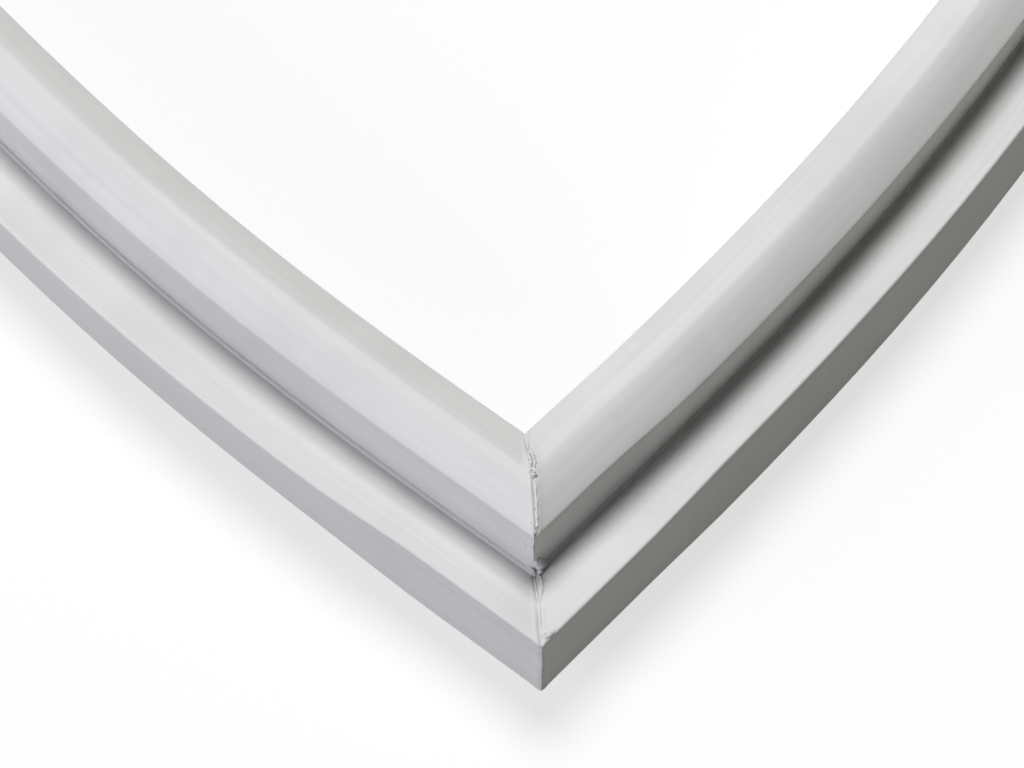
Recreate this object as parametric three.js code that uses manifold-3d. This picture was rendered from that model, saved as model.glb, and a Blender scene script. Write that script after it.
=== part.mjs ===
// Refrigerator door gasket, lying on its back with the magnet face up.
// One soft hollow section runs round four sides and is welded at four square mitred corners.
// A flexible magnet strip lies in the pocket of each side.
// Millimetres, +Z up. The long sides run along Y and the short sides along X.
// The frame lies slightly racked, so each side is a gentle S between two square corners.
import * as THREE from "three";
import { mergeVertices } from "three/addons/utils/BufferGeometryUtils.js";
import Module from "manifold-3d";

// Sides, from weld to weld on the line of the barbed rib
const SHORT_RUN = 382; // length of a short side along its end direction
const LONG_RUN = 462; // length of a long side along its end direction
const SHORT_BOW = 33; // sideways step of a short side's S curve
const LONG_BOW = 43; // sideways step of a long side's S curve

// Section, across u from the inner edge and up z from the back face
const PROFILE_WIDTH = 30; // inner edge to outer wall
const BULB_SHARE = 7 / 12; // raised bulb's part of that width, at the outer edge of its top
const ROOT_INSET = 0.7; // the bulb's outer wall leans out this much from root to top
const ROOT_HEIGHT = 12.4; // where the bulb's outer wall meets the flange
const RIM_HEIGHT = 15.6; // outer edge of the flange
const FLANGE_ARCH = 0.25; // how far the flange arches above a straight line
const EDGE_HEIGHT = 25; // outer edge of the bulb's top
const CROWN_HEIGHT = 29; // highest line of the bulb's domed top
const INNER_HEIGHT = 25.1; // inner edge of that top, before it is rounded
const CROWN_SHARE = 0.48; // where the highest line lies across the bulb
const INNER_BEND = 1.25; // power of the dome's fall inward: 1 is straight, 2 a parabola
const OUTER_BEND = 1.6; // power of its fall outward
const INNER_ROUND = 2.6; // radius from the dome to the bulb's inner wall
const RIM_ROUND = 0.8; // radius of the flange's outer edge
const RIDGE_WIDTH = 0.9; // small ridge at the root of the bulb's outer wall
const RIDGE_HEIGHT = 0.5; // ridge above the flange
const FOLD_DEPTH = 2.4; // bellows fold in the inner wall
const WALL = 1.2; // every wall and web
const POCKET_WIDTH = 11.6; // magnet pocket
const POCKET_HEIGHT = 4.4;
const MAGNET_CLEARANCE = 0.35; // between a strip and its pocket, all round

// Barbed rib under the back, which pushes into the door's groove
const RIB_SHARE = 0.42; // centre line from the inner edge, as a part of the section's width
const RIB_NECK = 2.2; // width of the neck
const RIB_BARB = 6; // width across the barbs
const RIB_TIP = 1; // width of the tip
const RIB_DEPTH = 6.5; // back face to tip
const NECK_SHARE = 0.4; // part of the depth that is neck

// Set of the soft section away from the welds
const SHORT_LEAN = 0.5; // degrees the bulb leans outward
const LONG_LEAN = 4.5;
const SHORT_RIM_SHIFT = 1.2; // outward shift of the flange's outer edge
const LONG_RIM_SHIFT = -0.65;
const SHORT_FOOT_SHIFT = -0.6; // outward shift of the outer wall's foot
const LONG_FOOT_SHIFT = 0.4;
const SET_LENGTH = 30; // distance over which the set grows from nothing

// Small round vents through the back into the hollows, at the middle of each side
const VENT_RADIUS = 1.5;

// Steps of the surfaces
const SIDE_STEPS = 12;
const ROUND_STEPS = 3;
const CROWN_STEPS = 9;
const VENT_STEPS = 12;

const BULB_WIDTH = PROFILE_WIDTH * BULB_SHARE;
const RIB_PLACE = PROFILE_WIDTH * RIB_SHARE;
const ROOT_PLACE = BULB_WIDTH - ROOT_INSET;
const CORNER_REACH = RIB_PLACE * 1.3; // first station clear of the mitre, from the weld
const POCKET_PLACE = (BULB_WIDTH - POCKET_WIDTH) / 2;
const CROWN_PLACE = BULB_WIDTH * CROWN_SHARE;
const POCKET_ROOF = EDGE_HEIGHT + WALL / 3;
const POCKET_FLOOR = POCKET_ROOF - POCKET_HEIGHT;
const FOLD_MIDDLE = (POCKET_FLOOR - WALL) * 0.55;

// Height of the bulb's dome: it falls from its highest line to either edge by a power law.
function crownHeight(u) {
  const outward = u > CROWN_PLACE;
  const edge = outward ? EDGE_HEIGHT : INNER_HEIGHT;
  const span = outward ? BULB_WIDTH - CROWN_PLACE : CROWN_PLACE;
  const share = Math.abs(u - CROWN_PLACE) / span;
  const fall = share ** (outward ? OUTER_BEND : INNER_BEND);
  return CROWN_HEIGHT - (CROWN_HEIGHT - edge) * fall;
}

// The round from the dome into the bulb's inner wall, tangent to both.
function innerRound() {
  const fall = CROWN_HEIGHT - INNER_HEIGHT;
  const slope = Math.atan((INNER_BEND * fall) / CROWN_PLACE);
  const drop = INNER_ROUND / Math.cos(slope) - INNER_ROUND * Math.tan(slope);
  const from = 90 + THREE.MathUtils.radToDeg(slope);
  return arc(INNER_ROUND, INNER_HEIGHT - drop, INNER_ROUND, from, 180, ROUND_STEPS);
}

// Height of the flange's upper face, rising outward with a slight arch.
function flangeHeight(u) {
  const share = (u - ROOT_PLACE) / (PROFILE_WIDTH - ROOT_PLACE);
  const straight = ROOT_HEIGHT + (RIM_HEIGHT - ROOT_HEIGHT) * share;
  return straight + 4 * FLANGE_ARCH * share * (1 - share);
}

// Points of a quarter turn about a centre, from one angle in degrees to another.
function arc(u, z, radius, from, to, steps) {
  const points = [];
  for (let i = 0; i <= steps; i += 1) {
    const a = THREE.MathUtils.degToRad(from + ((to - from) * i) / steps);
    points.push([u + radius * Math.cos(a), z + radius * Math.sin(a)]);
  }
  return points;
}

// The barbed rib, from its inner shoulder to its outer one.
function ribOutline() {
  const neck = -RIB_DEPTH * NECK_SHARE;
  const half = [
    [RIB_NECK / 2, 0],
    [RIB_NECK / 2, neck],
    [RIB_BARB / 2, neck - RIB_DEPTH * 0.06],
    [RIB_TIP / 2, -RIB_DEPTH],
  ];
  const inner = half.map(([u, z]) => [RIB_PLACE - u, z]);
  const outer = half.map(([u, z]) => [RIB_PLACE + u, z]).reverse();
  return inner.concat(outer);
}

// Outer skin of the section, anticlockwise with u to the right and z up.
function skinOutline() {
  const ridge = ROOT_PLACE + RIDGE_WIDTH;
  const middle = (ridge + PROFILE_WIDTH) / 2;
  const points = [[0, 0]];
  points.push(...ribOutline());
  points.push([PROFILE_WIDTH, 0]);
  points.push(
    ...arc(PROFILE_WIDTH - RIM_ROUND, RIM_HEIGHT - RIM_ROUND, RIM_ROUND, 0, 90, 2),
  );
  points.push([middle, flangeHeight(middle)]);
  points.push([ridge, flangeHeight(ridge)]);
  points.push([ridge, flangeHeight(ridge) + RIDGE_HEIGHT]);
  points.push([ROOT_PLACE, ROOT_HEIGHT + RIDGE_HEIGHT]);
  const round = innerRound();
  for (let i = 0; i < CROWN_STEPS; i += 1) {
    const u = BULB_WIDTH + ((round[0][0] - BULB_WIDTH) * i) / CROWN_STEPS;
    points.push([u, crownHeight(u)]);
  }
  points.push(...round);
  points.push([0, POCKET_FLOOR - WALL]);
  points.push([FOLD_DEPTH, FOLD_MIDDLE]);
  points.push([0, WALL]);
  return points;
}

// Hollow under the magnet pocket, whose inner wall is the bellows fold.
function bellowsOutline() {
  return [
    [WALL, WALL],
    [ROOT_PLACE - WALL, WALL],
    [ROOT_PLACE - WALL, ROOT_HEIGHT],
    [ROOT_PLACE - WALL, POCKET_FLOOR - WALL],
    [WALL, POCKET_FLOOR - WALL],
    [FOLD_DEPTH + WALL, FOLD_MIDDLE],
  ];
}

// Hollow under the flange.
function flangeOutline() {
  const outer = PROFILE_WIDTH - WALL;
  const middle = (ROOT_PLACE + outer) / 2;
  return [
    [ROOT_PLACE, WALL],
    [outer, WALL],
    [outer, flangeHeight(outer) - WALL],
    [middle, flangeHeight(middle) - WALL],
    [ROOT_PLACE, ROOT_HEIGHT - WALL],
  ];
}

// A rectangle inside the magnet pocket, drawn in by a clearance.
function pocketOutline(clearance) {
  const left = POCKET_PLACE + clearance;
  const right = POCKET_PLACE + POCKET_WIDTH - clearance;
  const low = POCKET_FLOOR + clearance;
  const high = POCKET_ROOF - clearance;
  return [
    [left, low],
    [right, low],
    [right, high],
    [left, high],
  ];
}

// A section point after the set: the bulb turns about its root, and the outer wall shifts.
// Below the root the turn fades to nothing at the back face.
function settle([u, z], set) {
  if (u > ROOT_PLACE + WALL / 4) {
    const reach = (u - ROOT_PLACE) / (PROFILE_WIDTH - ROOT_PLACE);
    const rise = z / RIM_HEIGHT;
    if (z < RIM_HEIGHT + WALL)
      return [u + reach * (set.foot + (set.rim - set.foot) * rise), z];
  }
  const turn = THREE.MathUtils.degToRad(set.lean);
  const pivot = Math.max(z, ROOT_HEIGHT);
  const fade = Math.min(1, Math.max(0, z / ROOT_HEIGHT));
  const du = u - ROOT_PLACE;
  const dz = pivot - ROOT_HEIGHT;
  const moveU = du * Math.cos(turn) + dz * Math.sin(turn) - du;
  const moveZ = dz * Math.cos(turn) - du * Math.sin(turn) - dz;
  return [u + fade * moveU, z + fade * moveZ];
}

// Smooth growth of the set with distance from the nearer weld.
function setShare(distance) {
  return THREE.MathUtils.smoothstep(distance, RIB_PLACE, RIB_PLACE + SET_LENGTH);
}

const SHORT_SET = {
  lean: SHORT_LEAN,
  rim: SHORT_RIM_SHIFT,
  foot: SHORT_FOOT_SHIFT,
};
const LONG_SET = {
  lean: LONG_LEAN,
  rim: LONG_RIM_SHIFT,
  foot: LONG_FOOT_SHIFT,
};

// The four sides in turn, each from one weld to the next with its outer wall on the right.
const CORNER_X = (SHORT_RUN + LONG_BOW) / 2;
const CORNER_Y = (LONG_RUN + SHORT_BOW) / 2;
const SIDES = [
  {
    name: "right",
    start: [CORNER_X, -CORNER_Y],
    along: [0, 1],
    across: [-1, 0],
    run: LONG_RUN,
    bow: LONG_BOW,
    set: LONG_SET,
  },
  {
    name: "top",
    start: [CORNER_X - LONG_BOW, CORNER_Y - SHORT_BOW],
    along: [-1, 0],
    across: [0, 1],
    run: SHORT_RUN,
    bow: SHORT_BOW,
    set: SHORT_SET,
  },
  {
    name: "left",
    start: [-CORNER_X, CORNER_Y],
    along: [0, -1],
    across: [1, 0],
    run: LONG_RUN,
    bow: LONG_BOW,
    set: LONG_SET,
  },
  {
    name: "bottom",
    start: [LONG_BOW - CORNER_X, SHORT_BOW - CORNER_Y],
    along: [1, 0],
    across: [0, -1],
    run: SHORT_RUN,
    bow: SHORT_BOW,
    set: SHORT_SET,
  },
];

// A station on a side: where the rib line is, which way is outward, and the set there.
// The side steps sideways by one full wave of a sine laid on a straight ramp.
function stationAt(side, distance) {
  const share = distance / side.run;
  const turn = 2 * Math.PI * share;
  const step = side.bow * (share - Math.sin(turn) / (2 * Math.PI));
  const slope = (side.bow / side.run) * (1 - Math.cos(turn));
  const [ax, ay] = side.along;
  const [cx, cy] = side.across;
  const length = Math.hypot(1, slope);
  const tx = (ax + cx * slope) / length;
  const ty = (ay + cy * slope) / length;
  const grown = setShare(Math.min(distance, side.run - distance));
  return {
    x: side.start[0] + ax * distance + cx * step,
    y: side.start[1] + ay * distance + cy * step,
    outX: ty,
    outY: -tx,
    set: {
      lean: side.set.lean * grown,
      rim: side.set.rim * grown,
      foot: side.set.foot * grown,
    },
  };
}

// Stations of a side clear of its mitres, closer together near the welds.
function sideStations(side) {
  const stations = [];
  for (let i = 0; i <= SIDE_STEPS; i += 1) {
    const share = (1 - Math.cos((Math.PI * i) / SIDE_STEPS)) / 2;
    stations.push(
      stationAt(side, CORNER_REACH + (side.run - 2 * CORNER_REACH) * share),
    );
  }
  return stations;
}

// The mitre before a side: both sides' outward offsets add up across the square corner.
function mitreStation(side, before) {
  const here = stationAt(side, 0);
  const there = stationAt(before, before.run);
  return {
    x: here.x,
    y: here.y,
    outX: here.outX + there.outX,
    outY: here.outY + there.outY,
    set: here.set,
  };
}

// Points in space of an outline at each station, one ring per station.
function sweepRings(outline, stations) {
  return stations.map((station) =>
    outline.map((point) => {
      const [u, z] = settle(point, station.set);
      const out = u - RIB_PLACE;
      return [
        station.x + out * station.outX,
        station.y + out * station.outY,
        z + RIB_DEPTH,
      ];
    }),
  );
}

// One closed solid through a list of rings, closed on itself or capped at its two ends.
function sweepSolid(outline, stations, closed) {
  const rings = sweepRings(outline, stations);
  const positions = rings.flat(2);
  const size = outline.length;
  const faces = [];
  const last = closed ? rings.length : rings.length - 1;
  for (let r = 0; r < last; r += 1) {
    const here = r * size;
    const next = ((r + 1) % rings.length) * size;
    for (let i = 0; i < size; i += 1) {
      const j = (i + 1) % size;
      faces.push(here + i, next + j, here + j);
      faces.push(here + i, next + i, next + j);
    }
  }
  if (!closed) {
    const contour = outline.map(([u, z]) => new THREE.Vector2(u, z));
    const end = (rings.length - 1) * size;
    for (const [a, b, c] of THREE.ShapeUtils.triangulateShape(contour, [])) {
      faces.push(a, b, c);
      faces.push(end + a, end + c, end + b);
    }
  }
  const geometry = new THREE.BufferGeometry();
  geometry.setAttribute("position", new THREE.Float32BufferAttribute(positions, 3));
  geometry.setIndex(faces);
  return geometry;
}

const wasm = await Module();
wasm.setup();

// A geometry as a solid for cutting.
function toSolid(geometry) {
  const bare = geometry.index ? geometry.toNonIndexed() : geometry.clone();
  for (const name of Object.keys(bare.attributes))
    if (name !== "position") bare.deleteAttribute(name);
  const merged = mergeVertices(bare, 1e-4);
  return new wasm.Manifold(
    new wasm.Mesh({
      numProp: 3,
      vertProperties: merged.attributes.position.array,
      triVerts: new Uint32Array(merged.index.array),
    }),
  );
}

// A cut solid as a geometry with flat faces.
function toGeometry(solid) {
  const mesh = solid.getMesh();
  const geometry = new THREE.BufferGeometry();
  geometry.setAttribute("position", new THREE.BufferAttribute(mesh.vertProperties, 3));
  geometry.setIndex(new THREE.BufferAttribute(mesh.triVerts, 1));
  const flat = geometry.toNonIndexed();
  flat.computeVertexNormals();
  return flat;
}

// An upright round vent at the middle of a side, from under the back up to a height.
function ventSolid(side, u, top) {
  const station = stationAt(side, side.run / 2);
  const low = RIB_DEPTH - WALL;
  const high = RIB_DEPTH + top;
  const cylinder = new THREE.CylinderGeometry(
    VENT_RADIUS,
    VENT_RADIUS,
    high - low,
    VENT_STEPS,
  );
  cylinder.rotateX(Math.PI / 2);
  const out = u - RIB_PLACE;
  cylinder.translate(
    station.x + out * station.outX,
    station.y + out * station.outY,
    (low + high) / 2,
  );
  return toSolid(cylinder);
}

// The whole welded frame: the skin less its three hollows and its vents.
function gasketGeometry() {
  const loop = [];
  SIDES.forEach((side, i) => {
    const before = SIDES[(i + SIDES.length - 1) % SIDES.length];
    loop.push(mitreStation(side, before));
    loop.push(...sideStations(side));
  });
  const bellowsVent = (RIB_PLACE - RIB_BARB / 2 + FOLD_DEPTH) / 2;
  const flangeVent = (ROOT_PLACE + PROFILE_WIDTH) / 2;
  let solid = toSolid(sweepSolid(skinOutline(), loop, true));
  const hollows = [bellowsOutline(), flangeOutline(), pocketOutline(0)];
  for (const outline of hollows)
    solid = solid.subtract(toSolid(sweepSolid(outline, loop, true)));
  for (const side of SIDES) {
    solid = solid.subtract(
      ventSolid(side, bellowsVent, POCKET_FLOOR + MAGNET_CLEARANCE * 2),
    );
    solid = solid.subtract(ventSolid(side, flangeVent, WALL * 2));
  }
  return toGeometry(solid);
}

// One flexible magnet strip, as long as its side is clear of the mitres.
function magnetGeometry(side) {
  const outline = pocketOutline(MAGNET_CLEARANCE);
  return toGeometry(toSolid(sweepSolid(outline, sideStations(side), false)));
}

const softVinyl = new THREE.MeshStandardMaterial({
  color: "#dcdddb",
  roughness: 0.5,
  metalness: 0,
});
const ferriteRubber = new THREE.MeshStandardMaterial({
  color: "#3b3734",
  roughness: 0.8,
  metalness: 0,
});

const group = new THREE.Group();

// Add one named mesh to the part.
function addPart(name, geometry, material) {
  const mesh = new THREE.Mesh(geometry, material);
  mesh.name = name;
  group.add(mesh);
}

addPart("gasket", gasketGeometry(), softVinyl);
for (const side of SIDES)
  addPart(`magnet_${side.name}`, magnetGeometry(side), ferriteRubber);

export default group;
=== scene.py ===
import math

import bpy
import numpy as np
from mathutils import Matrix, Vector


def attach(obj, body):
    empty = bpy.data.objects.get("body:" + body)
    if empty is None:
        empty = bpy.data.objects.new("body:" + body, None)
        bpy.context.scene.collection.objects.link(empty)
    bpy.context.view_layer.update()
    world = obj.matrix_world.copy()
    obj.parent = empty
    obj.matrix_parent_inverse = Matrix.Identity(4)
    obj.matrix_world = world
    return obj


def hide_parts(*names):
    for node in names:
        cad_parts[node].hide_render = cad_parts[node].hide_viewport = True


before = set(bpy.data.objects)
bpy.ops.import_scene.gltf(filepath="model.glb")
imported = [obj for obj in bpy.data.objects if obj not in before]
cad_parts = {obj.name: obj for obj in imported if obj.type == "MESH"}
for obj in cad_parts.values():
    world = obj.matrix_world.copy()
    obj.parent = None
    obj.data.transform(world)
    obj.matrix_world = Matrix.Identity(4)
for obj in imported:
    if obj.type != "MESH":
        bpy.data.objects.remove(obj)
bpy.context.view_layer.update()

bl_info = {
    "name": "Refrigerator door gasket",
    "version": (1, 0, 0),
    "blender": (4, 5, 0),
    "location": "3D View > Sidebar > Gasket",
    "description": "Builds the visible skin, weld and stage of a refrigerator door gasket",
    "category": "Add Mesh",
}

MM = 0.001

# Length beside a weld over which a row leans into the mitre plane
MITRE_BLEND = 0.036
# Rows of a side between its welds
ROW_SPACING = 0.012
# Points round the outline: on the plain back and on all the rest
BACK_SPACING = 0.0025
SKIN_SPACING = 0.0007
# Between a magnet strip and its pocket, all round
MAGNET_CLEARANCE = 0.00035


# Settings


def length_mm(name, description, default):
    """A length property given in millimetres and kept in metres."""
    return bpy.props.FloatProperty(
        name=name,
        description=description,
        default=default * MM,
        precision=5,
        subtype="DISTANCE",
        unit="LENGTH",
    )


def share(name, description, default):
    """A plain factor property."""
    return bpy.props.FloatProperty(
        name=name, description=description, default=default, precision=3
    )


def turn_deg(name, description, default):
    """An angle property given in degrees and kept in radians."""
    return bpy.props.FloatProperty(
        name=name,
        description=description,
        default=math.radians(default),
        subtype="ANGLE",
        unit="ROTATION",
    )


def hex_text(name, description, default):
    """A colour property written as an sRGB hex value."""
    return bpy.props.StringProperty(name=name, description=description, default=default)


class GasketSides(bpy.types.PropertyGroup):
    """The four sides, from weld to weld on the line of the barbed rib."""

    short_run: length_mm("Short run", "Weld to weld along a short side", 382)
    long_run: length_mm("Long run", "Weld to weld along a long side", 462)
    short_bow: length_mm("Short bow", "Sideways step of a short side's S", 33)
    long_bow: length_mm("Long bow", "Sideways step of a long side's S", 43)
    short_lean: turn_deg("Short lean", "Outward lean of the bulb on a short side", 0.5)
    long_lean: turn_deg("Long lean", "Outward lean of the bulb on a long side", 4.5)
    short_rim_shift: length_mm("Short rim shift", "Rim of a short side, outward", 1.2)
    long_rim_shift: length_mm("Long rim shift", "Rim of a long side, outward", -0.65)
    short_foot_shift: length_mm("Short foot shift", "Foot of a short side, outward", -0.6)
    long_foot_shift: length_mm("Long foot shift", "Foot of a long side, outward", 0.4)
    set_length: length_mm("Set length", "Over which lean and shifts grow", 30)


class GasketSection(bpy.types.PropertyGroup):
    """The extruded section, across from its inner edge and up from its back face."""

    width: length_mm("Width", "Inner edge to outer wall", 30)
    bulb_width: length_mm("Bulb width", "Raised bulb at its outer top edge", 17.5)
    root_inset: length_mm("Root inset", "Lean of the bulb's outer wall", 0.7)
    root_height: length_mm("Root height", "Where the bulb meets the flange", 12.4)
    rim_height: length_mm("Rim height", "Outer edge of the flange", 15.6)
    flange_arch: length_mm("Flange arch", "Arch of the flange's upper face", 0.25)
    edge_height: length_mm("Edge height", "Outer edge of the bulb's top", 25)
    crown_height: length_mm("Crown height", "Highest line of the bulb's domed top", 29)
    inner_height: length_mm("Inner height", "Inner edge of that top", 25.1)
    crown_share: share("Crown place", "Highest line, as a part of the bulb's width", 0.48)
    inner_bend: share("Inner bend", "Power of the dome's fall inward", 1.25)
    outer_bend: share("Outer bend", "Power of the dome's fall outward", 1.6)
    inner_round: length_mm("Inner round", "Radius into the inner wall", 2.6)
    ridge_width: length_mm("Ridge width", "Ridge at the root of the bulb", 0.9)
    ridge_height: length_mm("Ridge height", "Ridge above the flange", 0.5)
    fold_depth: length_mm("Fold depth", "Bellows fold of the inner wall", 2.4)
    wall: length_mm("Wall", "Every wall and web", 1.2)
    pocket_width: length_mm("Pocket width", "Magnet pocket", 11.6)
    pocket_height: length_mm("Pocket height", "Magnet pocket", 4.4)
    rib_place: length_mm("Rib place", "Centre line from the inner edge", 12.6)
    rib_neck: length_mm("Rib neck", "Width of the neck", 2.2)
    rib_barb: length_mm("Rib barb", "Width across the barbs", 6)
    rib_tip: length_mm("Rib tip", "Width of the tip", 1)
    rib_depth: length_mm("Rib depth", "Back face to tip", 6.5)
    vent_radius: length_mm("Vent radius", "Vents through the back", 1.5)


class GasketFinish(bpy.types.PropertyGroup):
    """Colours and surface of the soft PVC and the magnet strips."""

    vinyl: hex_text("Soft PVC", "Light grey extruded PVC", "#DBDBDA")
    vinyl_shade: hex_text("Soft PVC shade", "Fainter tone in the drawn lines", "#D3D3D2")
    ferrite: hex_text("Ferrite rubber", "Dark magnet strip", "#3B3734")
    ferrite_shade: hex_text("Ferrite shade", "Darker tone in its powder", "#2C2927")
    line_space: length_mm("Line spacing", "Faint lines left by the die", 1.6)
    grain_space: length_mm("Grain spacing", "Fine matt grain, drawn coarse to show", 0.35)


class GasketStage(bpy.types.PropertyGroup):
    """Camera and light."""

    azimuth: turn_deg("Azimuth", "Turn of the view from +Y towards -X", 40.85)
    elevation: turn_deg("Elevation", "View above the horizon", 52.52)
    distance: length_mm("Distance", "Camera to the aimed point", 668)
    aim_x: length_mm("Aim X", "Aimed point from the lower right weld", -34.35)
    aim_y: length_mm("Aim Y", "Aimed point from the lower right weld", 34.07)
    lens: bpy.props.FloatProperty(
        name="Lens", description="Focal length on a 36 mm sensor", default=117.1
    )
    key: share("Key", "Light of the overhead lamp on a level face", 0.82)
    left: share("Left", "Light of the low left lamp on a level face", 0.19)
    fill: share("Fill", "Strength of the surrounding light", 0.03)
    room: hex_text("Room", "Tone of the surrounding light", "#FFFFE8")
    paper: hex_text("Paper", "Floor and backdrop", "#FFFFFF")
    bounce: hex_text("Bounce", "Tone the floor throws back on the object", "#B6B5AF")


# Section outlines, as arrays of (u, z) in metres


def soften(points, reach, steps=5):
    """Rounds the corners of a closed outline.
    Each corner with a reach becomes a quadratic Bezier curve: from the point at that reach
    before the corner, pulled towards the corner, to the point at that reach after it. The
    reach is held under half of each neighbouring stretch."""
    before = np.roll(points, 1, axis=0) - points
    after = np.roll(points, -1, axis=0) - points
    room_before = np.linalg.norm(before, axis=1)
    room_after = np.linalg.norm(after, axis=1)
    held = np.minimum(reach, 0.45 * np.minimum(room_before, room_after))
    a = points + before * (held / room_before)[:, None]
    b = points + after * (held / room_after)[:, None]
    t = np.linspace(0, 1, steps)[None, :, None]
    curves = (1 - t) ** 2 * a[:, None] + 2 * t * (1 - t) * points[:, None]
    curves = curves + t**2 * b[:, None]
    keep = np.ones((len(points), steps), bool)
    keep[held == 0, 1:] = False
    return curves[keep]


def divide(points, spacing):
    """Splits each straight stretch of a closed outline into equal parts.
    The number of parts is the stretch's length over its spacing, rounded up."""
    span = np.roll(points, -1, axis=0) - points
    middle = points + span / 2
    count = np.ceil(np.linalg.norm(span, axis=1) / spacing(middle)).astype(int)
    count = np.maximum(count, 1)
    which = np.repeat(np.arange(len(points)), count)
    first = np.repeat(np.cumsum(count) - count, count)
    part = (np.arange(count.sum()) - first) / count[which]
    return points[which] + span[which] * part[:, None]


def crown_height(s, u):
    """A fall from the highest line to either edge: the share of the way, to a power."""
    top = s.bulb_width * s.crown_share
    outward = u > top
    edge = np.where(outward, s.edge_height, s.inner_height)
    span = np.where(outward, s.bulb_width - top, top)
    bend = np.where(outward, s.outer_bend, s.inner_bend)
    return s.crown_height - (s.crown_height - edge) * (np.abs(u - top) / span) ** bend


def flange_height(s, u):
    """A straight rise from root to rim, plus a parabola of arch."""
    root = s.bulb_width - s.root_inset
    part = (u - root) / (s.width - root)
    straight = s.root_height + (s.rim_height - s.root_height) * part
    return straight + 4 * s.flange_arch * part * (1 - part)


def pocket_levels(s):
    """Floor and roof of the magnet pocket."""
    roof = s.edge_height + s.wall / 3
    return roof - s.pocket_height, roof


def fold_height(s):
    """Height of the deepest line of the bellows fold, just over half way up its wall."""
    return (pocket_levels(s)[0] - s.wall) * 0.55


def skin_outline(s):
    """The outer skin, anticlockwise: back face with its barbed rib, outer wall, flange,
    ridge, bulb wall, crown, inner round and bellows fold. Each row holds the points of one
    of these and the reach of the rounding at them, in metres, nought where they are smooth.
    The smooth flange and crown stop short of the corners beside them."""
    short_of_rim = 0.0016
    short_of_ridge = 0.0006
    short_of_edge = 0.0008
    floor = pocket_levels(s)[0]
    neck = -s.rib_depth * 0.4
    half = np.array(
        [
            [s.rib_neck / 2, 0],
            [s.rib_neck / 2, neck],
            [s.rib_barb / 2, neck - s.rib_depth * 0.06],
            [s.rib_tip / 2, -s.rib_depth],
        ]
    )
    middle = np.array([s.rib_place, 0])
    rib = np.vstack([middle + half * [-1, 1], (middle + half)[::-1]])
    root = s.bulb_width - s.root_inset
    ridge = root + s.ridge_width
    flange_u = np.linspace(s.width - short_of_rim, ridge + short_of_ridge, 14)
    flange = np.column_stack([flange_u, flange_height(s, flange_u)])
    foot = float(flange_height(s, ridge))
    fall = s.crown_height - s.inner_height
    slope = math.atan(s.inner_bend * fall / (s.bulb_width * s.crown_share))
    drop = s.inner_round / math.cos(slope) - s.inner_round * math.tan(slope)
    angle = np.linspace(math.pi / 2 + slope, math.pi, 9)
    round_u = s.inner_round + s.inner_round * np.cos(angle)
    round_z = s.inner_height - drop + s.inner_round * np.sin(angle)
    crown_u = np.linspace(s.bulb_width - short_of_edge, round_u[0], 26)[:-1]
    crown = np.column_stack([crown_u, crown_height(s, crown_u)])
    rows = [
        ([[0, 0]], 0.0004),
        (rib, 0.00018),
        ([[s.width, 0]], 0.0005),
        ([[s.width, s.rim_height]], 0.0009),
        (flange, 0),
        ([[ridge, foot]], 0.00012),
        ([[ridge - s.ridge_width * 0.3, foot + s.ridge_height * 1.1]], 0.0002),
        ([[root, s.root_height + s.ridge_height * 1.8]], 0.0003),
        ([[s.bulb_width, s.edge_height]], 0.0004),
        (crown, 0),
        (np.column_stack([round_u, round_z]), 0),
        ([[0, floor - s.wall]], 0.0012),
        ([[s.fold_depth, fold_height(s)]], 0.0014),
        ([[0, s.wall]], 0.0005),
    ]
    points = np.vstack([np.asarray(p, float) for p, _ in rows])
    reach = np.concatenate([np.full(len(p), r) for p, r in rows])
    return soften(points, reach)


def hollow_outlines(s):
    """The bellows hollow, the flange hollow and the magnet pocket, anticlockwise."""
    floor, roof = pocket_levels(s)
    root = s.bulb_width - s.root_inset
    outer = s.width - s.wall
    middle = (root + outer) / 2
    left = (s.bulb_width - s.pocket_width) / 2
    bellows = [
        [s.wall, s.wall],
        [root - s.wall, s.wall],
        [root - s.wall, s.root_height],
        [root - s.wall, floor - s.wall],
        [s.wall, floor - s.wall],
        [s.fold_depth + s.wall, fold_height(s)],
    ]
    flange = [
        [root, s.wall],
        [outer, s.wall],
        [outer, float(flange_height(s, outer)) - s.wall],
        [middle, float(flange_height(s, middle)) - s.wall],
        [root, s.root_height - s.wall],
    ]
    pocket = [
        [left, floor],
        [left + s.pocket_width, floor],
        [left + s.pocket_width, roof],
        [left, roof],
    ]
    return [np.array(bellows), np.array(flange), np.array(pocket)]


# Carrying an outline round the four sides


def side_list(g):
    """The four sides in turn, each with its outer wall on the right.
    A side is its first weld, the ways along and across it, its run, bow and set: the lean
    of its bulb and the outward shifts of its rim and foot."""
    x = (g.short_run + g.long_bow) / 2
    y = (g.long_run + g.short_bow) / 2
    long_set = (g.long_lean, g.long_rim_shift, g.long_foot_shift)
    short_set = (g.short_lean, g.short_rim_shift, g.short_foot_shift)
    long = (g.long_run, g.long_bow, long_set)
    short = (g.short_run, g.short_bow, short_set)
    right = ((x, -y), (0, 1), (-1, 0), *long)
    top = ((x - g.long_bow, y - g.short_bow), (-1, 0), (0, 1), *short)
    left = ((-x, y), (0, -1), (1, 0), *long)
    bottom = ((g.long_bow - x, g.short_bow - y), (1, 0), (0, -1), *short)
    return [right, top, left, bottom]


def photographed_weld(g):
    """The weld at +X, -Y, on the line of the barbed rib: the first of the right side."""
    return side_list(g)[0][0]


def smooth(value):
    """Smooth step from 0 to 1: three squares less two cubes of the clipped value."""
    t = np.clip(value, 0, 1)
    return t * t * (3 - 2 * t)


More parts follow.
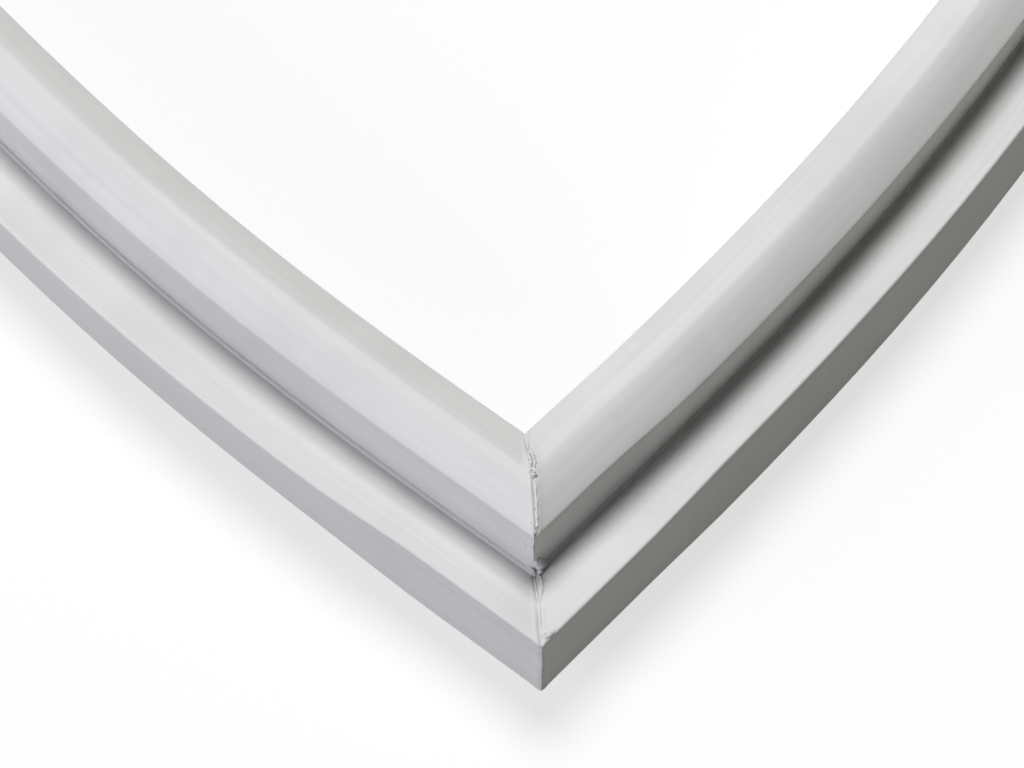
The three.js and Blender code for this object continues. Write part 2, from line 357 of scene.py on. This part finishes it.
def settle(s, u, z, lean, rim, foot):
    """The bulb turns about its root by the lean, fading to nothing at the back face.
    The outer wall shifts outward by a straight blend of foot and rim shift up its height."""
    root = s.bulb_width - s.root_inset
    reach = (u - root) / (s.width - root)
    shifted = u + reach * (foot + (rim - foot) * z / s.rim_height)
    outer = (u > root + s.wall / 4) & (z < s.rim_height + s.wall)
    fade = np.clip(z / s.root_height, 0, 1)
    du = u - root
    dz = np.maximum(z, s.root_height) - s.root_height
    move_u = du * np.cos(lean) + dz * np.sin(lean) - du
    move_z = dz * np.cos(lean) - du * np.sin(lean) - dz
    return np.where(outer, shifted, u + fade * move_u), np.where(outer, z, z + fade * move_z)


def heading(side, reach):
    """Level direction of a side at each distance along it.
    The slope across is bow over run times one less the cosine of a full turn of the share."""
    _, along, across, run, bow, _ = side
    part = np.clip(reach / run, 0, 1)
    slope = bow / run * (1 - np.cos(2 * np.pi * part))
    size = np.sqrt(1 + slope**2)
    return (along[0] + across[0] * slope) / size, (along[1] + across[1] * slope) / size


def side_surface(s, g, side, outline, distances):
    """Points of an outline carried along one side, one row for each distance from its weld.
    Near a weld a row leans over until it lies in the mitre plane, where the distance along
    the side is the outward offset taken away. The side itself is a straight line plus a
    sideways step: bow times (share less sine of a full turn of the share over two pi).
    Also gives each point's distance along the side, and from the nearer mitre plane."""
    start, along, across, run, bow, (lean, rim, foot) = side
    d = distances[:, None]
    u = outline[None, :, 0]
    z = outline[None, :, 1]
    offset = u - s.rib_place
    head = 1 - smooth(d / MITRE_BLEND)
    tail = 1 - smooth((run - d) / MITRE_BLEND)
    reach = d - offset * head + offset * tail
    near = np.minimum(reach, run - reach)
    grown = smooth((near - s.rib_place) / g.set_length)
    set_u, set_z = settle(s, u, z, lean * grown, rim * grown, foot * grown)
    part = np.clip(reach / run, 0, 1)
    step = bow * (part - np.sin(2 * np.pi * part) / (2 * np.pi))
    tx, ty = heading(side, reach)
    out = set_u - s.rib_place
    x = start[0] + along[0] * reach + across[0] * step + out * ty
    y = start[1] + along[1] * reach + across[1] * step - out * tx
    weld = np.minimum(d + offset * (1 - head), run - d - offset * (1 - tail))
    return np.stack([x, y, set_z + s.rib_depth], axis=-1), reach, weld


def side_distances(run, fine):
    """Rows of one side: closer together near both welds, even between them."""
    count = int(round((run - 2 * fine[-1]) / ROW_SPACING))
    between = np.linspace(fine[-1], run - fine[-1], count + 1)[1:-1]
    return np.concatenate([fine, between, run - fine[::-1]])


def wave(position, seed, lengths, count=5):
    """Smooth seeded waviness: a sum of sines of random phase, kept within about one."""
    random = np.random.default_rng(seed)
    sizes = random.uniform(lengths[0], lengths[1], count)
    phases = random.uniform(0, 2 * np.pi, count)
    waves = np.sin(position[..., None] * 2 * np.pi / sizes + phases)
    return waves.sum(axis=-1) / math.sqrt(count)


def outline_lengths(outline):
    """Running length along a closed outline at each of its points."""
    span = np.linalg.norm(np.roll(outline, -1, axis=0) - outline, axis=1)
    return np.concatenate([[0], np.cumsum(span)[:-1]])


def outline_normals(outline):
    """Outward normal at each point: the chord between its neighbours, turned a quarter."""
    chord = np.roll(outline, -1, axis=0) - np.roll(outline, 1, axis=0)
    chord = chord / np.linalg.norm(chord, axis=1)[:, None]
    return np.column_stack([chord[:, 1], -chord[:, 0]])


def loop_faces(rows, size, base, flip):
    """Quads between neighbouring rows and points, closed both ways."""
    r, i = np.meshgrid(np.arange(rows), np.arange(size), indexing="ij")
    r2 = (r + 1) % rows
    i2 = (i + 1) % size
    quads = np.stack([r * size + i, r2 * size + i, r2 * size + i2, r * size + i2], axis=-1)
    quads = quads.reshape(-1, 4) + base
    return quads[:, ::-1] if flip else quads


def disc_quads(around):
    """Quads that close a ring of an even number of points."""
    k = np.arange(around // 2 - 1)
    return np.stack([k, k + 1, around - 2 - k, around - 1 - k], -1)


# Meshes and materials


def mesh_object(name, vertices, faces, uv=None):
    """An object at the origin from arrays of vertices and quads, shaded smooth."""
    mesh = bpy.data.meshes.new(name)
    mesh.vertices.add(len(vertices))
    mesh.vertices.foreach_set("co", np.asarray(vertices, np.float32).ravel())
    mesh.loops.add(faces.size)
    mesh.loops.foreach_set("vertex_index", faces.astype(np.int32).ravel())
    mesh.polygons.add(len(faces))
    starts = np.arange(0, faces.size, faces.shape[1], dtype=np.int32)
    mesh.polygons.foreach_set("loop_start", starts)
    mesh.polygons.foreach_set("use_smooth", np.ones(len(faces), bool))
    if uv is not None:
        layer = mesh.uv_layers.new(name="section_and_length")
        layer.uv.foreach_set("vector", uv.astype(np.float32).ravel())
    mesh.update(calc_edges=True)
    mesh.validate()
    obj = bpy.data.objects.new(name, mesh)
    bpy.context.scene.collection.objects.link(obj)
    return obj


def cut_away(obj, cutter):
    """Takes one closed mesh out of another and removes the first."""
    cut = obj.modifiers.new("cut", "BOOLEAN")
    cut.operation = "DIFFERENCE"
    cut.solver = "MANIFOLD"
    cut.object = cutter
    graph = bpy.context.evaluated_depsgraph_get()
    result = bpy.data.meshes.new_from_object(obj.evaluated_get(graph))
    old = obj.data
    obj.modifiers.clear()
    obj.data = result
    bpy.data.meshes.remove(old)
    bpy.data.objects.remove(cutter)


def linear(text):
    """An sRGB hex value as linear red, green, blue and full alpha."""
    code = np.array([int(text[i : i + 2], 16) for i in (1, 3, 5)]) / 255
    low = code / 12.92
    high = ((code + 0.055) / 1.055) ** 2.4
    return (*np.where(code <= 0.04045, low, high).tolist(), 1.0)


def node(tree, kind, links=(), **settings):
    """Adds one node: attributes by name, sockets by name or number, and links into it."""
    made = tree.nodes.new(kind)
    for name, value in settings.items():
        if name == "inputs":
            for key, number in value.items():
                made.inputs[key].default_value = number
        else:
            setattr(made, name, value)
    for socket, source in links:
        tree.links.new(source, made.inputs[socket])
    return made


def new_material(name):
    """An empty node material and its tree."""
    material = bpy.data.materials.new(name)
    material.use_nodes = True
    material.node_tree.nodes.clear()
    return material, material.node_tree


def noise(tree, place, scale, detail, roughness=0.5):
    """Fractal noise over a place. The scale is one over the size of its patches."""
    return node(
        tree,
        "ShaderNodeTexNoise",
        [("Vector", place)],
        inputs={"Scale": scale, "Detail": detail, "Roughness": roughness},
    ).outputs["Fac"]


def spread(tree, value, low, high, new_low, new_high):
    """Carries a value between two limits over to two others, in a straight line."""
    limits = {"From Min": low, "From Max": high, "To Min": new_low, "To Max": new_high}
    return node(tree, "ShaderNodeMapRange", [("Value", value)], inputs=limits).outputs[0]


def tint(tree, share_of_second, first, second):
    """Two colours mixed, the share of the second given."""
    return node(
        tree,
        "ShaderNodeMix",
        [(0, share_of_second)],
        data_type="RGBA",
        inputs={6: linear(first), 7: linear(second)},
    ).outputs[2]


def bumps(tree, height, strength, distance, links=()):
    """Surface turned as by bumps of a height times a distance."""
    return node(
        tree,
        "ShaderNodeBump",
        [("Height", height), *links],
        inputs={"Strength": strength, "Distance": distance},
    ).outputs[0]


def joined(tree, operation, first, second):
    """Two values put together by one operation."""
    kind = "ShaderNodeMath"
    return node(tree, kind, [(0, first), (1, second)], operation=operation).outputs[0]


def blended(tree, share_of_second, first, second):
    """Two shaders mixed, the share of the second given by a link."""
    links = [(0, share_of_second), (1, first), (2, second)]
    return node(tree, "ShaderNodeMixShader", links).outputs[0]


def finished(tree, kind, shader):
    """Links a shader to the output of a material or a world."""
    node(tree, kind, [("Surface", shader)])


def extruded_soft_pvc(look):
    """Light grey plasticised PVC drawn through a die.
    It is satin, with faint lines along its length, a fine matt grain and the slight
    unevenness of a soft plastic that has been handled."""
    line_length = 0.11
    cloud_size = 0.022
    material, tree = new_material("extruded_soft_pvc")
    uv = node(tree, "ShaderNodeUVMap", uv_map="section_and_length")
    lines_map = node(
        tree,
        "ShaderNodeMapping",
        [("Vector", uv.outputs["UV"])],
        inputs={"Scale": (1 / look.line_space, 1 / line_length, 1)},
    )
    lines = noise(tree, lines_map.outputs["Vector"], 1.0, 3.0, 0.6)
    place = node(tree, "ShaderNodeTexCoord").outputs["Object"]
    grain = noise(tree, place, 1 / look.grain_space, 2.0)
    clouds = noise(tree, place, 1 / cloud_size, 4.0, 0.55)
    both = joined(tree, "MULTIPLY", lines, clouds)
    tone = spread(tree, both, 0.12, 0.34, 0.0, 1.0)
    colour = tint(tree, tone, look.vinyl_shade, look.vinyl)
    rough = spread(tree, clouds, 0.3, 0.7, 0.5, 0.62)
    drawn = bumps(tree, lines, 0.2, 0.00004)
    matt = bumps(tree, grain, 0.2, 0.00002, [("Normal", drawn)])
    shader = node(
        tree,
        "ShaderNodeBsdfPrincipled",
        [("Base Color", colour), ("Roughness", rough), ("Normal", matt)],
        inputs={"IOR": 1.5, "Specular IOR Level": 0.25},
    )
    finished(tree, "ShaderNodeOutputMaterial", shader.outputs[0])
    return material


def ferrite_rubber(look):
    """Rubber filled with ferrite powder and extruded as a strip: dark, dull and grainy."""
    powder_size = 0.0004
    material, tree = new_material("extruded_ferrite_rubber")
    place = node(tree, "ShaderNodeTexCoord").outputs["Object"]
    powder = noise(tree, place, 1 / powder_size, 3.0)
    colour = tint(tree, powder, look.ferrite_shade, look.ferrite)
    shader = node(
        tree,
        "ShaderNodeBsdfPrincipled",
        [("Base Color", colour), ("Normal", bumps(tree, powder, 0.4, 0.00005))],
        inputs={"Roughness": 0.75, "IOR": 1.5},
    )
    finished(tree, "ShaderNodeOutputMaterial", shader.outputs[0])
    return material


def seen_directly(tree):
    """One where the ray is from the camera, a gloss or a see-through surface, else nought."""
    path = node(tree, "ShaderNodeLightPath").outputs
    first = joined(tree, "MAXIMUM", path["Is Camera Ray"], path["Is Glossy Ray"])
    return joined(tree, "MAXIMUM", first, path["Is Transmission Ray"])


def matt_paper(stage):
    """Matt white backdrop paper. Seen directly it is nearly white and keeps the shadow;
    the light it throws back on the object is that of a darker bench."""
    glow_share = 0.7
    material, tree = new_material("matt_backdrop_paper")
    seen = seen_directly(tree)
    bench = node(tree, "ShaderNodeBsdfDiffuse", inputs={"Color": linear(stage.bounce)})
    sheet = node(tree, "ShaderNodeBsdfDiffuse", inputs={"Color": linear(stage.paper)})
    glow = node(
        tree,
        "ShaderNodeEmission",
        inputs={"Color": linear(stage.paper), "Strength": 1.0},
    )
    shown = node(
        tree,
        "ShaderNodeMixShader",
        [(1, sheet.outputs[0]), (2, glow.outputs[0])],
        inputs={0: glow_share},
    )
    mixed = blended(tree, seen, bench.outputs[0], shown.outputs[0])
    finished(tree, "ShaderNodeOutputMaterial", mixed)
    return material


# Pieces


# Rows beside each weld, from it, in millimetres
FINE_ROWS = [0.1, 0.25, 0.4, 0.55, 0.7, 0.85, 1, 1.2, 1.5, 1.9, 2.5, 3.4, 5, 7.5, 11, 16, 22, 29, 36]

# Strands of flash on the photographed weld, in millimetres. Each has its line over the skin
# (length up from the foot of the outer wall, distance across the mitre), width and height.
FLASH = [
    ([(58.6, 0.6), (56.6, 0.4), (55, 0)], 0.5, 0.2),
    ([(54.6, 0.3), (53, 0.8), (51.5, 1.1), (50, 1)], 0.8, 0.6),
    ([(54, 0.1), (52, 0.4), (50.6, 0.5)], 0.6, 0.65),
    ([(50.6, -0.1), (49.6, 0.5), (48.7, 1)], 1.1, 0.6),
    ([(48.8, 0.8), (45, 0.75), (43, 0.65), (41.2, 0.5)], 0.6, 0.4),
    ([(42.9, -0.7), (41.7, -0.1), (40.9, 0.5)], 0.7, 0.3),
    ([(40.6, -0.1), (37, -0.25), (34.5, -0.1), (32.4, -0.2)], 0.5, 0.3),
    ([(36.4, -2.1), (35.6, -1.6), (35, -1.2)], 0.5, 0.12),
    ([(32, 0.3), (30.6, 0.8), (29.4, 1.2), (28.6, 1.5)], 2, 1.2),
    ([(29.6, 0.5), (28.6, 1), (27.6, 1)], 1.3, 0.9),
    ([(29.8, -1.1), (29, -0.4), (28.4, 0.2)], 0.8, 0.5),
    ([(28.2, -0.1), (26, 0), (24.1, 0.15), (21.5, 0.3), (19.2, 0.35), (16.4, 0.1)], 0.45, 0.25),
    ([(28, 0.6), (26.8, 1.1), (25.7, 1.3), (24.4, 1.1), (23.2, 0.8), (22.3, 0.4)], 0.5, 0.3),
    ([(16.6, 0.2), (16.2, 0.9), (16, 1.7), (15.9, 2.6)], 1.3, 0.4),
    ([(15.2, 0), (10, 0.05), (5, -0.05), (0.7, 0)], 0.4, 0.1),
]


def bell(distance, width):
    """Bell curve: e to the power of minus the square of distance over width."""
    return np.exp(-((distance / width) ** 2))


def weld_relief(up, beside, seed):
    """Height of the hot-plate weld above the skin, from the length up the skin and the
    distance beside the mitre.
    A narrow groove, its depth wavy along the section, with a low swollen lip on either side:
    a bell curve of the distance from the groove taken away, another added. The groove keeps
    to the mitre but for a slip to one side on the bulb's top, a bell curve of the place, and
    a slight wander. All of it dies down on the inner fall of the bulb's top."""
    slip_place = 0.047
    slip_width = 0.006
    groove_width = 0.0004
    least_depth = 0.00004
    lip_place = 0.001
    lip_width = 0.0006
    most_lip = 0.00014
    fade_start = 0.056
    fade_length = 0.003
    slip = 0.0009 * bell(up - slip_place, slip_width)
    wander = 0.0001 * wave(up, seed + 2, (0.006, 0.02))
    apart = beside - (slip + wander)
    depth = 0.0002 + 0.0001 * wave(up, seed, (0.004, 0.015))
    lip = 0.0001 + 0.00006 * wave(up, seed + 1, (0.003, 0.012))
    groove = np.maximum(depth, least_depth) * bell(apart, groove_width)
    swell = np.clip(lip, 0, most_lip) * bell(np.abs(apart) - lip_place, lip_width)
    inner_fade = 1 - 0.8 * smooth((up - fade_start) / fade_length)
    return (swell - groove) * inner_fade


def build_skin(s, g):
    """Arrays of the skin and its hollows: vertices, quads and the uv of each quad's corners.
    The weld's relief lifts the skin along its normal, but not on the barbed rib."""
    rib_level = -MM
    outline = divide(
        skin_outline(s),
        lambda p: np.where(p[:, 1] < 0.2 * MM, BACK_SPACING, SKIN_SPACING),
    )
    lengths = outline_lengths(outline)
    up = lengths - lengths[foot_index(s, outline)]
    normals = outline_normals(outline)
    fine = np.array(FINE_ROWS) * MM
    rows = []
    uvs = []
    total = 0.0
    for i, side in enumerate(side_list(g)):
        run = side[3]
        distances = side_distances(run, fine)
        points, reach, weld = side_surface(s, g, side, outline, distances)
        start = weld_relief(up[None, :], weld, i * 10)
        end = weld_relief(up[None, :], -weld, (i + 1) % 4 * 10)
        relief = np.where(distances[:, None] < run / 2, start, end)
        relief = np.where(outline[None, :, 1] > rib_level, relief, 0)
        lift = relief * normals[:, 0]
        tx, ty = heading(side, reach)
        points[..., 0] += lift * ty
        points[..., 1] -= lift * tx
        points[..., 2] += relief * normals[:, 1]
        rows.append(points)
        across = np.broadcast_to(lengths[None, :], reach.shape)
        uvs.append(np.stack([across, reach + total], axis=-1))
        total += run
    skin = np.concatenate(rows)
    uv = np.concatenate(uvs)
    count, size = skin.shape[:2]
    vertices = [skin.reshape(-1, 3)]
    quads = loop_faces(count, size, 0, False)
    corner_uv = [uv.reshape(-1, 2)[quads]]
    faces = [quads]
    base = count * size
    for hollow in hollow_outlines(s):
        parts = []
        for side in side_list(g):
            distances = side_distances(side[3], fine[::6])
            parts.append(side_surface(s, g, side, hollow, distances)[0])
        ring = np.concatenate(parts)
        quads = loop_faces(ring.shape[0], ring.shape[1], base, True)
        vertices.append(ring.reshape(-1, 3))
        faces.append(quads)
        corner_uv.append(np.zeros((*quads.shape, 2)))
        base += ring.shape[0] * ring.shape[1]
    corner_uv = np.vstack([corners.reshape(-1, 2) for corners in corner_uv])
    return np.vstack(vertices), np.vstack(faces), corner_uv


def foot_index(s, outline):
    """Point of an outline nearest the foot of the outer wall."""
    return np.argmin(np.hypot(outline[:, 0] - s.width, outline[:, 1]))


def beside_mitre(s, g, up, across):
    """Points and normals of the skin at the photographed mitre.
    The length up the skin gives the place in the section. The distance across the mitre,
    times the square root of two, is the distance along the long side where positive and
    along the short side where negative. The normal turns from one side's to the other's."""
    turn_width = 0.0012
    outline = skin_outline(s)
    lengths = outline_lengths(outline)
    first = foot_index(s, outline)
    known = (lengths - lengths[first])[first:]
    u, z = [np.interp(up, known, outline[first:, k]) for k in (0, 1)]
    nu, nz = [np.interp(up, known, outline_normals(outline)[first:, k]) for k in (0, 1)]
    off = u - s.rib_place
    along = across * math.sqrt(2)
    weld_x, weld_y = photographed_weld(g)
    x = weld_x + off + np.minimum(along, 0)
    y = weld_y - off + np.maximum(along, 0)
    long_part = smooth(0.5 + across / turn_width)
    normal = np.column_stack([nu * long_part, -nu * (1 - long_part), nz])
    normal = normal / np.linalg.norm(normal, axis=1)[:, None]
    return np.column_stack([x, y, z + s.rib_depth]), normal


def flash_strand(s, g, line, width, height, seed):
    """Vertices and quads of one strand of flash along a line over the skin.
    Its line is softened by an even average over a few rows.
    Its section is an ellipse, with half axes that swell as the square root of one less the
    third power of the way from its middle to an end, and waver by seeded waves."""
    steps = 40
    around = 12
    window = 7
    least_swell = 0.004
    t = np.linspace(0, 1, steps)
    knots = np.linspace(0, 1, len(line))
    line = np.array(line) * MM
    even = np.full(window, 1 / window)
    padded = [np.pad(np.interp(t, knots, line[:, k]), window // 2, mode="edge") for k in (0, 1)]
    up, across = [np.convolve(values, even, mode="valid") for values in padded]
    across = across + 0.00005 * wave(t, seed, (0.15, 0.5))
    point, normal = beside_mitre(s, g, up, across)
    tangent = np.gradient(point, axis=0)
    side = np.cross(tangent, normal)
    side = side / np.linalg.norm(side, axis=1)[:, None]
    swell = np.sqrt(np.maximum(1 - np.abs(2 * t - 1) ** 3, least_swell))
    half = width * MM / 2 * swell * (1 + 0.22 * wave(t, seed + 1, (0.1, 0.4)))
    tall = height * MM * swell * (1 + 0.25 * wave(t, seed + 2, (0.08, 0.3)))
    turn = np.linspace(0, 2 * np.pi, around, endpoint=False)
    ring = point[:, None] + side[:, None] * (half[:, None] * np.cos(turn))[..., None]
    ring = ring + normal[:, None] * (tall[:, None] * np.sin(turn))[..., None]
    r, i = np.meshgrid(np.arange(steps - 1), np.arange(around), indexing="ij")
    i2 = (i + 1) % around
    near = r * around
    next_ring = near + around
    wall = np.stack([near + i, next_ring + i, next_ring + i2, near + i2], -1)
    cap = disc_quads(around)
    far = cap[:, ::-1] + (steps - 1) * around
    return ring.reshape(-1, 3), np.vstack([wall.reshape(-1, 4), cap, far])


def build_flash(s, g):
    """Arrays of all the strands of flash: vertices, quads and the uv of each quad's corners."""
    vertices = []
    faces = []
    base = 0
    for number, (line, width, height) in enumerate(FLASH):
        points, quads = flash_strand(s, g, line, width, height, 100 + 3 * number)
        vertices.append(points)
        faces.append(quads + base)
        base += len(points)
    vertices = np.vstack(vertices)
    faces = np.vstack(faces)
    return vertices, faces, vertices[faces.ravel()][:, [2, 1]]


def build_vents(s, g):
    """Arrays of the eight upright vents, two through the back at the middle of each side.
    The inner one goes on through the floor of the magnet pocket."""
    floor = pocket_levels(s)[0]
    places = [
        ((s.rib_place - s.rib_barb / 2 + s.fold_depth) / 2, floor + 2 * MAGNET_CLEARANCE),
        ((s.bulb_width - s.root_inset + s.width) / 2, 2 * s.wall),
    ]
    around = 24
    turn = np.linspace(0, 2 * np.pi, around, endpoint=False)
    i = np.arange(around)
    i2 = (i + 1) % around
    cap = disc_quads(around)
    tube = np.vstack([np.stack([i, i2, i2 + around, i + around], -1), cap[:, ::-1], cap + around])
    vertices = []
    faces = []
    for side in side_list(g):
        for u, top in places:
            middle = np.array([[u, 0.0]])
            x, y, low = side_surface(s, g, side, middle, np.array([side[3] / 2]))[0][0, 0]
            circle = np.column_stack([np.cos(turn), np.sin(turn)]) * s.vent_radius + [x, y]
            heights = [low - s.wall, low + top]
            faces.append(tube + 2 * around * len(vertices))
            vertices.append(np.vstack([np.column_stack([circle, np.full(around, h)]) for h in heights]))
    return np.vstack(vertices), np.vstack(faces)


# Operators of the pieces


class GASKET_OT_skin(bpy.types.Operator):
    """Build the welded PVC frame with its hollows"""

    bl_idname = "gasket.skin"
    bl_label = "Welded PVC frame"

    def execute(self, context):
        scene = context.scene
        settings = (scene.gasket_section, scene.gasket_sides)
        skin = mesh_object("welded_pvc_frame", *build_skin(*settings))
        cut_away(skin, mesh_object("vents", *build_vents(*settings)))
        skin.data.materials.clear()
        skin.data.materials.append(extruded_soft_pvc(scene.gasket_finish))
        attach(skin, "root")
        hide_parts("gasket")
        return {"FINISHED"}


class GASKET_OT_flash(bpy.types.Operator):
    """Lay the flash squeezed out of the photographed weld"""

    bl_idname = "gasket.flash"
    bl_label = "Weld flash"

    def execute(self, context):
        scene = context.scene
        settings = (scene.gasket_section, scene.gasket_sides)
        flash = mesh_object("corner_weld_flash", *build_flash(*settings))
        flash.data.materials.append(bpy.data.materials["extruded_soft_pvc"])
        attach(flash, "root")
        return {"FINISHED"}


class GASKET_OT_magnets(bpy.types.Operator):
    """Finish the four magnet strips in their pockets"""

    bl_idname = "gasket.magnets"
    bl_label = "Magnet strips"

    def execute(self, context):
        finish = ferrite_rubber(context.scene.gasket_finish)
        for side in ("right", "top", "left", "bottom"):
            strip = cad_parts["magnet_" + side]
            strip.data.materials.clear()
            strip.data.materials.append(finish)
        return {"FINISHED"}


# Stage


# Half a side of the square of paper
PAPER_REACH = 4.0

# Lamps: the setting with their brightness, the way towards them from the photographed
# corner, their distance, width and colour
LAMPS = {
    "overhead_light": ("key", (-0.3, 0.27, 1.0), 4.0, 2.1, "#FFFFFF"),
    "left_light": ("left", (-0.25, -1.0, 0.38), 3.0, 1.8, "#F1F2FF"),
}


class GASKET_OT_stage(bpy.types.Operator):
    """Set the paper, the soft light and the camera"""

    bl_idname = "gasket.stage"
    bl_label = "Stage"

    def execute(self, context):
        scene = context.scene
        stage = scene.gasket_stage
        corners = [[-1, -1, 0], [1, -1, 0], [1, 1, 0], [-1, 1, 0]]
        corners = PAPER_REACH * np.array(corners)
        paper = mesh_object("backdrop_paper", corners, np.array([[0, 1, 2, 3]]))
        paper.data.materials.append(matt_paper(stage))

        weld = photographed_weld(scene.gasket_sides)
        corner = np.array([*weld, scene.gasket_section.rib_depth])
        aim = corner + np.array([stage.aim_x, stage.aim_y, 0])
        ahead = np.array([-math.sin(stage.azimuth), math.cos(stage.azimuth), 0])
        look = ahead * math.cos(stage.elevation) - np.array([0, 0, math.sin(stage.elevation)])
        place_camera(scene, aim - look * stage.distance, look, stage.lens)

        for name, (setting, towards, far, size, colour) in LAMPS.items():
            level = getattr(stage, setting)
            light_level_face(name, corner, np.array(towards), far, size, level, colour)
        surround(scene, stage)
        scene.view_settings.view_transform = "Standard"
        return {"FINISHED"}


def surround(scene, stage):
    """Faint even light from all round, in front of a backdrop that is seen as white paper."""
    world = bpy.data.worlds.new("studio_surround")
    world.use_nodes = True
    scene.world = world
    tree = world.node_tree
    tree.nodes.clear()
    seen = seen_directly(tree)
    room, white = [
        node(
            tree,
            "ShaderNodeBackground",
            inputs={"Color": linear(colour), "Strength": strength},
        ).outputs[0]
        for colour, strength in ((stage.room, stage.fill), (stage.paper, 1.0))
    ]
    finished(tree, "ShaderNodeOutputWorld", blended(tree, seen, room, white))


def facing(look):
    """Turn that points an object's -Z along a direction with its Y axis upward."""
    return Vector(look.tolist()).to_track_quat("-Z", "Y").to_euler()


def place_camera(scene, position, look, lens):
    """A camera at a point, looking along a direction."""
    data = bpy.data.cameras.new("photo_camera")
    data.sensor_fit = "HORIZONTAL"
    data.sensor_width = 36.0
    data.lens = lens
    data.clip_start = 0.01
    data.clip_end = 50.0
    camera = bpy.data.objects.new("photo_camera", data)
    camera.location = position.tolist()
    camera.rotation_euler = facing(look)
    scene.collection.objects.link(camera)
    scene.camera = camera


def light_level_face(name, spot, towards, far, size, level, colour):
    """A round soft lamp that gives a level white face at a spot the stated brightness.
    Its power is the level times pi squared times the distance squared, over the sine of
    its height."""
    towards = towards / np.linalg.norm(towards)
    power = level * math.pi**2 * far**2 / towards[2]
    position = spot + towards * far
    data = bpy.data.lights.new(name, "AREA")
    data.shape = "DISK"
    data.size = size
    data.energy = power
    data.color = linear(colour)[:3]
    lamp = bpy.data.objects.new(name, data)
    lamp.location = position.tolist()
    lamp.rotation_euler = facing(-towards)
    bpy.context.scene.collection.objects.link(lamp)


# Panel and registration


class GASKET_PT_panel(bpy.types.Panel):
    """Lists the pieces of the gasket"""

    bl_idname = "GASKET_PT_panel"
    bl_label = "Door gasket"
    bl_space_type = "VIEW_3D"
    bl_region_type = "UI"
    bl_category = "Gasket"

    def draw(self, context):
        for operator in OPERATORS:
            self.layout.operator(operator.bl_idname)


OPERATORS = (GASKET_OT_skin, GASKET_OT_flash, GASKET_OT_magnets, GASKET_OT_stage)
GROUPS = {
    "gasket_sides": GasketSides,
    "gasket_section": GasketSection,
    "gasket_finish": GasketFinish,
    "gasket_stage": GasketStage,
}


def register():
    for name, group in GROUPS.items():
        bpy.utils.register_class(group)
        setattr(bpy.types.Scene, name, bpy.props.PointerProperty(type=group))
    for operator in OPERATORS:
        bpy.utils.register_class(operator)
    bpy.utils.register_class(GASKET_PT_panel)


def unregister():
    bpy.utils.unregister_class(GASKET_PT_panel)
    for operator in reversed(OPERATORS):
        bpy.utils.unregister_class(operator)
    for name, group in GROUPS.items():
        delattr(bpy.types.Scene, name)
        bpy.utils.unregister_class(group)


def main():
    register()
    bpy.ops.gasket.skin()
    bpy.ops.gasket.flash()
    bpy.ops.gasket.magnets()
    bpy.ops.gasket.stage()


if __name__ == "__main__":
    main()
